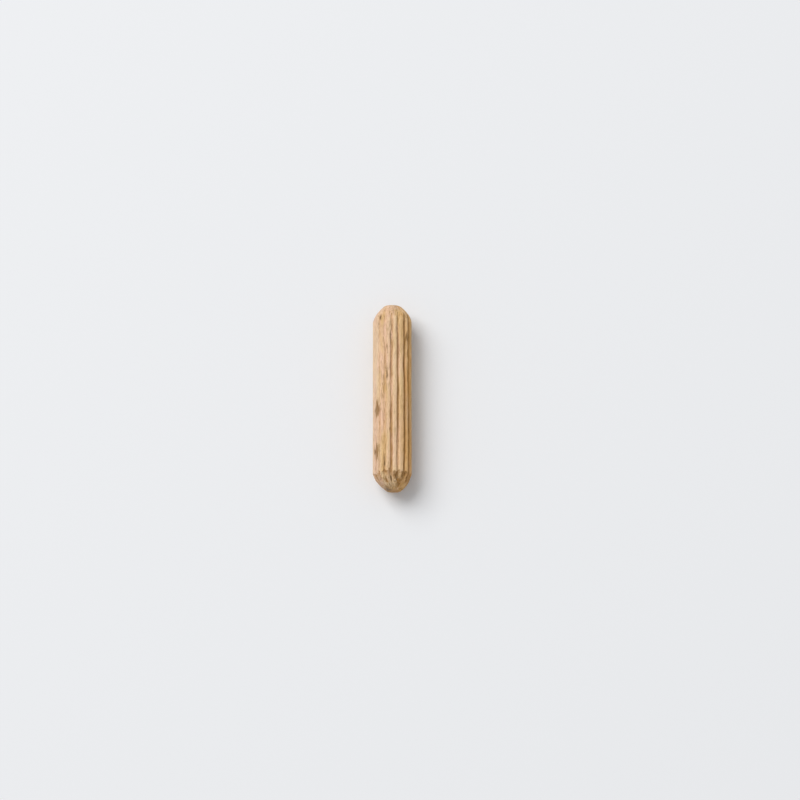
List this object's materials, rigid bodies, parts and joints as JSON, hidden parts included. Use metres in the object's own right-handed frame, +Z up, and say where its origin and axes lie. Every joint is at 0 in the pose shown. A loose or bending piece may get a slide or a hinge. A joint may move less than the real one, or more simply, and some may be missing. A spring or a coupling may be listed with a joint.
{
  "type": "dowel pin",
  "caption": "Short round beech pin, fluted lengthwise and chamfered at both ends, that is glued into facing holes to join two boards.",
  "frame": {"origin": "on the surface that the pin lies on, under its middle", "axes": "+Y along the pin's axis, +Z up, +X across the pin"},
  "size_m": [0.0082, 0.04, 0.0081],
  "materials": {
    "beech": "matte"
  },
  "bodies": {
    "root": {"dowel_pin": "beech"}
  },
  "joints": []
}
